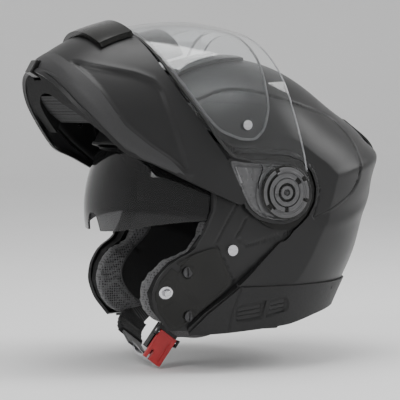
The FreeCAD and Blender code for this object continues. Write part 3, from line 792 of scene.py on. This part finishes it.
def rim_trim():
    """Grained band round the lower rear edge, with raised louvres."""
    skin = Bulge(SHELL_RING, 122.8, 119.3, 1.8)
    louvres = []
    for start, end, top in ((-45, -23, -110.5), (-13, 2, -105.5)):
        for drop in (0.0, 4.2, 8.4):
            rise = (end - start) * 0.15
            louvres.append([(start, top - drop), (end, top + rise - drop),
                            (end, top + rise - drop - 2.2), (start, top - drop - 2.2)])
    pocket = [(-48, -107.5), (-20, -103.5), (4, -99), (8, -112.5), (-20, -119), (-46, -123.5)]

    def field(grid):
        y, z = side_view(grid)
        return depth_in(rounded(LOWER_TRIM, 2, 0.08), y, z)

    def relief(grid):
        y, z = side_view(grid)
        drop = -panel_step(pocket, y, z, 1.6, 1.6)
        for louvre in louvres:
            drop -= 2.6 * smooth_step(depth_in(louvre, y, z), -0.5, 0.5)
        spine, _ = beside([(-19, -120), (-16.5, -103)], y, z)
        drop += 1.8 * (1 - smooth_step(np.abs(spine), 1.2, 2.0)) * smooth_step(-drop, 0.4, 1.2)
        groove, _ = beside([(-44, -90), (-50, -112), (-52, -132)], y, z)
        drop -= 0.9 * (1 - smooth_step(np.abs(groove), 0.4, 1.4))
        return drop

    mesh = skin_piece("rim_trim", skin, (186, 314), field, 1.1, relief)
    # rim trim gets the darker copy of the trim plastic, painted shade for its downward-facing edge
    trim = place("rim_trim", mesh, "helmet", "trim_plastic", thick=6.0, bevel=1.0,
                 material=MATERIALS["trim_painted_shade"])
    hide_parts("lower_trim")


def outline_rotated(outline, turn):
    """Side outline turned about the pivot axis; a positive turn lowers the front."""
    c, s = math.cos(turn), math.sin(turn)
    return [(y * c - z * s, y * s + z * c) for y, z in outline]


def one_side(mesh, side):
    """Keep only the part of a mesh on one side of the middle."""
    work = bmesh.new()
    work.from_mesh(mesh)
    bmesh.ops.delete(work, geom=[v for v in work.verts if v.co.x * side < 0], context="VERTS")
    work.to_mesh(mesh)
    work.free()
    return mesh


def pivot_plate():
    """Mechanism plate between the arm's paint and the round cover, with its ribs and windows."""
    edge = rounded(outline_rotated(PIVOT_PLATE, OPEN_ANGLE), 3, 0.15)
    window = outline_rotated([(-53, 26), (-40, 24.5), (-38, 12), (-47, 8)], OPEN_ANGLE)
    slot_a = outline_rotated([(-35, 24), (-33, 24), (-31, 11), (-34, 11)], OPEN_ANGLE)
    slot_b = outline_rotated([(-46, 5), (-34, 7), (-30, -3), (-38, -10)], OPEN_ANGLE)
    screw_at = outline_rotated([(-24, 21)], OPEN_ANGLE)[0]

    def field(grid):
        y, z = side_view(grid)
        return np.minimum(depth_in(edge, y, z), np.hypot(y, z) - 10.5)

    def relief(grid):
        y, z = side_view(grid)
        inner = depth_in(edge, y, z)
        drop = -1.3 * smooth_step(inner, 1.4, 1.9) + 0.8 * smooth_step(inner, 3.6, 4.0)
        drop += panel_step(window, y, z, 0.8, 0.8) - panel_step(slot_a, y, z, 0.9, 0.7)
        drop += panel_step(slot_b, y, z, 0.6, 0.8)
        ring = np.hypot(y, z)
        screw = np.hypot(y - screw_at[0], z - screw_at[1])
        drop -= 0.8 * (1 - smooth_step(screw, 0.7, 1.3))
        return drop - 0.8 * (1 - smooth_step(np.abs(ring - 29.5), 0.4, 1.0))

    def gasket_field(grid):
        outer = -depth_in(edge, *side_view(grid))
        return np.minimum(outer - 0.3, 3.6 - outer)

    def gasket_relief(grid):
        outer = -depth_in(edge, *side_view(grid))
        return -0.7 + 0.4 * np.cos(outer * 4.2)

    def window_field(grid):
        return depth_in(window, *side_view(grid)) - 0.8

    around = (-170, 190)
    satin, rubber_seal, pane = (MATERIALS[key] for key in ("satin_black", "rubber", "seal_silicone"))
    for side, word in SIDES:
        for name, span, inside, lift, wall, bevel, material in (
                ("plate", around, field, relief, 2.4, 0.3, satin),
                ("gasket", around, gasket_field, gasket_relief, 2.0, 0.0, rubber_seal),
                ("window", (-170, 60), window_field, level(-0.1), 0.4, 0.0, pane)):
            mesh = one_side(skin_piece("pivot_" + name, CHIN_SKIN, span, inside, 0.9, lift, 0.05), side)
            place("pivot_%s_%s" % (name, word), mesh, "chin_bar", "black_gloss", -OPEN_ANGLE,
                  wall, bevel, material)


def turned_disc(name, profile, notches, centre, side):
    """Round stepped cover; profile is (radius, height), notches are (r0, r1, from, to, drop)."""
    radii = np.concatenate([np.linspace(a[0], b[0], max(2, int((b[0] - a[0]) / 0.45) + 1))[:-1]
                            for a, b in zip(profile, profile[1:])] + [[profile[-1][0]]])
    heights = np.interp(radii, [p[0] for p in profile], [p[1] for p in profile])
    turns = np.linspace(0, 2 * math.pi, 241)
    radius, turn = np.meshgrid(radii, turns, indexing="ij")
    height = np.repeat(heights[:, None], len(turns), 1)
    degrees = np.degrees(turn) % 360
    for r0, r1, start, end, drop in notches:
        inside = smooth_step(radius, r0 - 0.3, r0 + 0.3) * (1 - smooth_step(radius, r1 - 0.3, r1 + 0.3))
        middle, half = (start + end) / 2, (end - start) / 2
        gap = np.abs((degrees - middle + 180) % 360 - 180)
        height = height - drop * inside * (1 - smooth_step(gap, half - 1.5, half + 1.5))
    height = np.minimum(height, heights.max())
    grid = np.empty(radius.shape + (3,))
    grid[..., 0] = side * (centre[0] + height)
    grid[..., 1] = centre[1] - radius * np.cos(turn)
    grid[..., 2] = centre[2] + radius * np.sin(turn)
    mesh = clipped_mesh(name, grid, np.ones(radius.shape))
    mesh.set_sharp_from_angle(angle=math.radians(32))
    return mesh


COVER_PROFILE = [(2.9, -1.8), (3.2, -0.3), (5.8, 0.0), (6.3, -0.2), (6.6, -2.4), (8.8, -2.4),
                 (9.1, -0.2), (12.7, 0.0), (13.0, -0.2), (13.1, -1.9), (14.1, -1.9), (14.3, -0.6),
                 (18.4, -0.6), (18.6, -2.3), (20.7, -2.3), (20.9, -1.1), (23.9, -1.0), (24.2, -1.4),
                 (25.7, -1.9)]
COVER_NOTCHES = [(13.0, 14.2, 30, 190, -1.3), (18.5, 20.8, 62, 308, -1.6), (14.2, 18.5, 262, 276, 1.3),
                 (14.2, 18.5, 128, 150, 1.3), (20.8, 24.0, 315, 330, 1.2), (20.8, 24.0, 60, 70, 1.2),
                 (20.8, 24.0, 140, 152, 1.2), (18.5, 24.0, 196, 204, 1.2), (9.2, 12.8, 340, 356, 1.0)]


def paint_groove_shade(piece, depth, side):
    """Painted shade: the groove bottoms get the black gloss material, darker than the cover, where shade
    falls in the turned grooves.
    """
    piece.data.materials.append(MATERIALS["black_gloss"])
    for face in piece.data.polygons:
        if face.center.x * side / MM < depth:
            face.material_index = 1


def pivot_covers():
    for side, word in SIDES:
        mesh = turned_disc("pivot_disc", COVER_PROFILE, COVER_NOTCHES, (122.5, 0, 0), side)
        disc = place("pivot_disc_" + word, mesh, "helmet", "rubber", thick=0.35,
                     material=MATERIALS["satin_black"])
        # painted shade at the bottom of the cover's grooves
        paint_groove_shade(disc, 121.1, side)
        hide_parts("pivot_cover_" + word)
        screw = turned_disc("pivot_bolt", [(0.05, -0.6), (2.3, -0.4), (2.7, -0.8)],
                            [(0.4, 2.2, turn - 16, turn + 16, 0.7) for turn in (45, 135, 225, 315)],
                            (122.2, 0, 0), side)
        bolt = place("pivot_bolt_" + word, screw, "helmet", "steel",
                     material=MATERIALS["dark_steel"])
        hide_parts("pivot_screw_" + word)


def insert_pane():
    """Anti-fog insert inside the visor, with the soft seal that stands off round its edge."""
    skin = Bulge(VISOR_RING, 117.6, 116.8, -3.0, 3.2, 2.0)
    outline = rounded(INSERT, 2, 0.18)

    def pane_field(grid):
        return depth_in(outline, grid[..., 1], grid[..., 2]) - 1.0

    def seal_field(grid):
        inner = depth_in(outline, grid[..., 1], grid[..., 2])
        return np.minimum(inner, 2.4 - inner)

    mesh = skin_piece("insert_pane", skin, (-40, 60), pane_field, 3.0)
    place("insert_pane", mesh, "visor", "clear_lens", -OPEN_ANGLE, 0.7)
    mesh = skin_piece("insert_seal", skin, (-40, 60), seal_field, 1.3, level(0.4))
    place("insert_seal", mesh, "visor", "clear_lens", -OPEN_ANGLE, 1.0,
          material=MATERIALS["seal_silicone"])


def shade_lens():
    """Tinted inner shade: one curved sheet with a nose notch."""
    ring = [(angle, 124.0) for angle in range(-90, 270, 24)]
    skin = Bulge(ring, 104.0, 99.8, 0.0, 2.5, 2.1, (-26.0, -20.0))
    outline = rounded([(-18, -12), (-50, 14), (-85, 40), (-118, 62), (-300, 90), (-300, -46),
                       (-150, -40.5), (-119, -31), (-95, -27.5), (-60, -25.5), (-24, -31)], 2, 0.12)
    notch = rounded([(-26, -90), (-13.5, -30), (-6, -21.5), (6, -21.5), (13.5, -30), (26, -90)], 2, 0.2)

    def field(grid):
        x, y, z = grid[..., 0], grid[..., 1], grid[..., 2]
        keep = np.minimum(depth_in(outline, y, z), np.hypot(y + 26, z + 20) - 5.2)
        return np.where(y < -100, np.minimum(keep, -depth_in(notch, x, z)), keep)

    mesh = skin_piece("shade_lens", skin, (-60, 100), field, 2.2, None, 0.06)
    lens = place("shade_lens", mesh, "sun_shade", "smoke_lens", thick=1.9, bevel=0.5)
    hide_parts("sun_shade")


def striker_heads():
    """Flanged heads of the latch strikers, driven by a cross recess."""
    for side, word in SIDES:
        low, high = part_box("striker_" + word)
        tip = max(abs(low[0]), abs(high[0])) / MM
        head = screw_head("striker_head_" + word, (tip + 0.2, (low[1] + high[1]) / 2 / MM,
                                                   (low[2] + high[2]) / 2 / MM), 2.9, 0.7, side, "helmet")
        head.data.set_sharp_from_angle(angle=math.radians(30))


def latch_plates():
    """Glossy plate over the latch: raised lip, crease, and dished seats for its screws."""
    outline = [(-66, -50), (-87, -56), (-105, -66), (-116, -80), (-120.5, -95), (-116, -112),
               (-106, -125.5), (-97, -131.5), (-78, -113), (-49, -86)]
    skin = Bulge(SHELL_RING, 112 + 2.2, 110.5 + 2.2, 0.9)
    lobe = [(-90, -58), (-100, -68), (-103, -80), (-96, -94), (-82, -104), (-86, -118), (-98, -131),
            (-116, -119), (-123, -95), (-116, -76), (-103, -62)]
    place_at = [(-93.0, -74.0), (-87.0, -117.0), (-111.0, -94.0)]    # two screws, striker
    dish_r = 6.3

    def field(grid):
        y, z = side_view(grid)
        keep = depth_in(rounded(outline, 2, 0.10), y, z)
        for (cy, cz), r in zip(place_at, (2.6, 2.6, 3.1)):
            keep = np.minimum(keep, np.hypot(y - cy, z - cz) - r)
        notch = depth_in([(-104, -66), (-99, -70), (-101.5, -75), (-108, -70)], y, z)
        return np.minimum(keep, -notch)

    def relief(grid):
        y, z = side_view(grid)
        rim = depth_in(rounded(outline, 3, 0.15), y, z)
        height = -0.5 * smooth_step(rim, 2.0, 3.0)
        crease, _ = beside([(-102, -64), (-99, -82), (-83, -103), (-74, -116)], y, z)
        height -= 0.5 * (1 - smooth_step(np.abs(crease), 0.2, 1.1))
        height -= panel_step(rounded(lobe, 2, 0.2), y, z, 0.8, 1.2)
        for cy, cz in place_at[:2]:
            height -= 0.9 * (1 - smooth_step(np.hypot(y - cy, z - cz), dish_r - 0.8, dish_r))
        cy, cz = place_at[2]
        height -= 0.8 * (1 - smooth_step(np.hypot((y - cy) * 1.1, (z - cz) * 0.75), 9.0, 10.5))
        return height

    def from_striker(grid):
        return np.hypot(grid[..., 1] - place_at[2][0], grid[..., 2] - place_at[2][1])

    def collar_field(grid):
        return np.minimum(from_striker(grid) - 3.2, 6.2 - from_striker(grid))

    def collar_relief(grid):
        return -1.05 + 0.25 * np.cos((from_striker(grid) - 4.7) * 2.0)

    for side, word in SIDES:
        mesh = one_side(skin_piece("latch_cover", skin, (-62, -25), field, 1.2, relief, 0.3), side)
        collar = one_side(skin_piece("latch_collar", skin, (-50, -32), collar_field, 0.8,
                                     collar_relief, 0.3), side)
        place("latch_collar_" + word, collar, "helmet", "steel", thick=0.4)
        cover = place("latch_cover_" + word, mesh, "helmet", "black_gloss", thick=1.8, bevel=0.5)
        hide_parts("latch_plate_" + word)


def screw_head(name, at, radius, height, side, body, slot="steel"):
    profile = [(0.05, -height), (radius * 0.36, -height), (radius * 0.42, -0.15), (radius * 0.78, 0.0),
               (radius * 0.95, -0.25), (radius, -height * 0.7), (radius, -height * 1.6)]
    mesh = turned_disc(name, profile, [(0, radius * 0.7, a - 12, a + 12, height * 0.6)
                                       for a in (45, 135, 225, 315)], at, side)
    return place(name, mesh, body, slot)


def inflate(mesh_object, pressure, cap, frames=20):
    """Blow a closed soft piece up with cloth and keep the points within cap of where they were."""
    before = np.array([v.co for v in mesh_object.data.vertices])
    cloth = mesh_object.modifiers.new("cloth", "CLOTH")
    cloth.settings.use_pressure = True
    cloth.settings.uniform_pressure_force = pressure
    cloth.settings.effector_weights.gravity = 0
    cloth.settings.tension_stiffness = 25
    cloth.settings.compression_stiffness = 25
    cloth.settings.bending_stiffness = 2
    cloth.settings.quality = 5
    cloth.point_cache.frame_start = 1
    cloth.point_cache.frame_end = frames
    scene = bpy.context.scene
    for frame_number in range(1, frames + 1):
        scene.frame_set(frame_number)
    graph = bpy.context.evaluated_depsgraph_get()
    blown = mesh_object.evaluated_get(graph).to_mesh()
    after = np.array([v.co for v in blown.vertices])
    mesh_object.modifiers.remove(cloth)
    shift = after - before
    length = np.linalg.norm(shift, axis=1, keepdims=True)
    shift *= np.minimum(1.0, cap * MM / np.maximum(length, 1e-9))
    for vertex, place_now in zip(mesh_object.data.vertices, before + shift):
        vertex.co = place_now
    scene.frame_set(1)


def soft_copy(node, name, voxel=4.5, shrink=1.2):
    """Closed remeshed copy of a CAD soft solid, a little smaller than it."""
    source = frame["nodes"][node]
    mesh = source.data.copy()
    mesh.name = name
    mesh.materials.clear()
    piece = bpy.data.objects.new(name, mesh)
    show(piece)
    remesh = piece.modifiers.new("voxels", "REMESH")
    remesh.mode = "VOXEL"
    remesh.voxel_size = voxel * MM
    smooth = piece.modifiers.new("ease", "SMOOTH")
    smooth.iterations = 4
    smooth.factor = 0.6
    graph = bpy.context.evaluated_depsgraph_get()
    eased = bpy.data.meshes.new_from_object(piece.evaluated_get(graph))
    piece.modifiers.clear()
    piece.data = eased
    work = bmesh.new()
    work.from_mesh(eased)
    bmesh.ops.recalc_face_normals(work, faces=work.faces)
    for vertex in work.verts:
        vertex.co -= vertex.normal * shrink * MM
    work.to_mesh(eased)
    work.free()
    return piece


def finish_soft(piece, body, node, materials, choose=None):
    """Smooth a soft piece, give its faces their cloth and let it stand for its CAD node."""
    work = bmesh.new()
    work.from_mesh(piece.data)
    bmesh.ops.subdivide_edges(work, edges=work.edges, cuts=1, smooth=1.0, use_grid_fill=True)
    work.to_mesh(piece.data)
    work.free()
    piece.data.materials.clear()
    for material in materials:
        piece.data.materials.append(material)
    if choose is not None:
        for face in piece.data.polygons:
            face.material_index = choose(face.center / MM)
    piece.data.shade_smooth()
    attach(piece, body)
    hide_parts(node)


def tube(name, points, radius, body, slot, material=None, closed=False):
    """Round bead through points given in millimetres."""
    curve = bpy.data.curves.new(name, "CURVE")
    curve.dimensions = "3D"
    curve.bevel_depth = radius * MM
    curve.bevel_resolution = 3
    spline = curve.splines.new("POLY")
    spline.points.add(len(points) - 1)
    for target, point in zip(spline.points, points):
        target.co = (point[0] * MM, point[1] * MM, point[2] * MM, 1)
    spline.use_cyclic_u = closed
    bead = bpy.data.objects.new(name, curve)
    show(bead)
    curve.materials.append(material or MATERIALS[slot])
    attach(bead, body)
    return bead


CHEEK_SEAM = [(-58, -26), (-60, -42), (-72, -56), (-88, -68), (-98, -82), (-99, -92), (-92, -106),
              (-80, -117), (-62, -121)]


def cheek_cushions():
    """Foam cheek pads: open mesh over the front edge, smooth cloth on the face, piped between."""
    seam = np.asarray(CHEEK_SEAM, float)
    for side, word in SIDES:
        pad = soft_copy("cheek_pad_" + word, "cheek_cushion_" + word)
        inflate(pad, 5.0, 5.0)

        def choose(centre):
            gap, _ = beside(seam, np.array([centre.y]), np.array([centre.z]))
            return 0 if gap[0] < 0 else 1

        finish_soft(pad, "helmet", "cheek_pad_" + word,
                    [MATERIALS["mesh_fabric"], MATERIALS["lining_fabric"]], choose)
        bpy.context.view_layer.update()
        points = []
        for y, z in resample(rounded_open(CHEEK_SEAM), 2.0):
            start = Vector((20 * side * MM, y * MM, z * MM))
            hit, spot, _, _ = pad.ray_cast(start, Vector((side, 0, 0)))
            if hit:
                points.append((spot.x / MM, y, z))
        if len(points) > 4:
            tube("cheek_piping_" + word, ease_points(points), 1.0, "helmet", "lining_fabric",
                 MATERIALS["piping"])


def rounded_open(line, passes=3):
    line = np.asarray(line, float)
    for _ in range(passes):
        inner = np.stack([line[:-1] * 0.75 + line[1:] * 0.25, line[:-1] * 0.25 + line[1:] * 0.75],
                         1).reshape(-1, line.shape[1])
        line = np.concatenate([line[:1], inner, line[-1:]])
    return line


def ease_points(points, passes=6):
    line = np.asarray(points, float)
    for _ in range(passes):
        line[1:-1] = line[1:-1] * 0.5 + (line[:-2] + line[2:]) * 0.25
    return [tuple(p) for p in line]


def soft_lining():
    """Crown lining (thin, not blown up), neck roll and strap pad."""
    for node, name, voxel, shrink, cap, fill in (("comfort_liner", "crown_lining", 4.0, 0.4, 0.0, 0.4),
                                                 ("neck_roll", "neck_cushion", 4.0, 1.0, 1.6, 0.7),
                                                 ("strap_pad", "strap_cushion", 3.0, 0.8, 1.5, 0.7)):
        piece = soft_copy(node, name, voxel, shrink)
        if cap:
            inflate(piece, 3.0, cap)
        finish_soft(piece, "helmet", node, [MATERIALS["lining_fabric"]])


# ---- floor, light and camera --------------------------------------------
def white_stage():
    low = cad_box[0][2] - 0.002
    reach, fillet = 5.5, 1.6
    profile = [(0.01, 0.0), (1.0, 0.0), (3.0, 0.0), (reach - fillet, 0.0)]
    for step in range(1, 13):
        turn = math.radians(90 * step / 12)
        profile.append((reach - fillet + fillet * math.sin(turn), fillet * (1 - math.cos(turn))))
    profile.append((reach, 3.2))
    grid = bmesh.new()
    rows = []
    turns = [math.radians(turn) for turn in range(0, 360, 5)]
    for run, height in profile:
        rows.append([grid.verts.new((run * math.cos(turn), run * math.sin(turn), low + height))
                     for turn in turns])
    grid.faces.new(rows[0])
    for near, far in zip(rows, rows[1:]):
        for i in range(len(near)):
            after = (i + 1) % len(near)
            grid.faces.new((near[i], near[after], far[after], far[i]))
    bmesh.ops.recalc_face_normals(grid, faces=grid.faces)
    mesh = bpy.data.meshes.new("floor")
    grid.to_mesh(mesh)
    mesh.shade_smooth()
    floor = bpy.data.objects.new("floor", mesh)
    show(floor)
    s = Shader("floor_paper")
    s.colour(s.ramp(s.noise(2, 2), (0.90, 0.90, 0.90, 1), (0.92, 0.92, 0.92, 1)))
    s.set(Roughness=0.9)
    mesh.materials.append(s.material)


def soft_box(name, place, size, power, aim=(0, 0, 0)):
    light = bpy.data.lights.new(name, "AREA")
    light.shape = "RECTANGLE"
    light.size, light.size_y = size
    light.energy = power
    lamp = bpy.data.objects.new(name, light)
    lamp.location = place
    lamp.rotation_euler = (Vector(aim) - Vector(place)).to_track_quat("-Z", "Y").to_euler()
    show(lamp)


def studio():
    world = bpy.data.worlds.new("studio")
    world.use_nodes = True
    world.node_tree.nodes["Background"].inputs["Color"].default_value = (1, 1, 1, 1)
    world.node_tree.nodes["Background"].inputs["Strength"].default_value = 0.72
    bpy.context.scene.world = world
    soft_box("key", (1.1, -1.9, 1.5), (0.9, 0.9), 15)
    soft_box("top", (0.1, -0.1, 1.6), (1.0, 1.0), 16)
    soft_box("rim", (0.6, 1.5, 0.9), (0.6, 1.2), 15)


def photo_camera():
    """Seen from the wearer's left front, slightly above, with a long lens."""
    azimuth, elevation = math.radians(65.0), math.radians(3.0)
    distance = 1.8
    target = Vector((0.0, -0.034, -0.012))
    back = Vector((math.sin(azimuth) * math.cos(elevation),
                   -math.cos(azimuth) * math.cos(elevation), math.sin(elevation)))
    data = bpy.data.cameras.new("camera")
    data.sensor_width = 36.0
    data.lens = 162.0
    data.clip_end = 50.0
    camera = bpy.data.objects.new("camera", data)
    camera.location = target + back * distance
    camera.rotation_euler = back.to_track_quat("Z", "Y").to_euler()
    show(camera)
    bpy.context.scene.camera = camera


dress_cad_nodes()
helmet_shell()
chin_bar()
visor_lens()
rim_trim()
pivot_plate()
pivot_covers()
insert_pane()
shade_lens()
latch_plates()
striker_heads()
cheek_cushions()
soft_lining()
white_stage()
studio()
photo_camera()
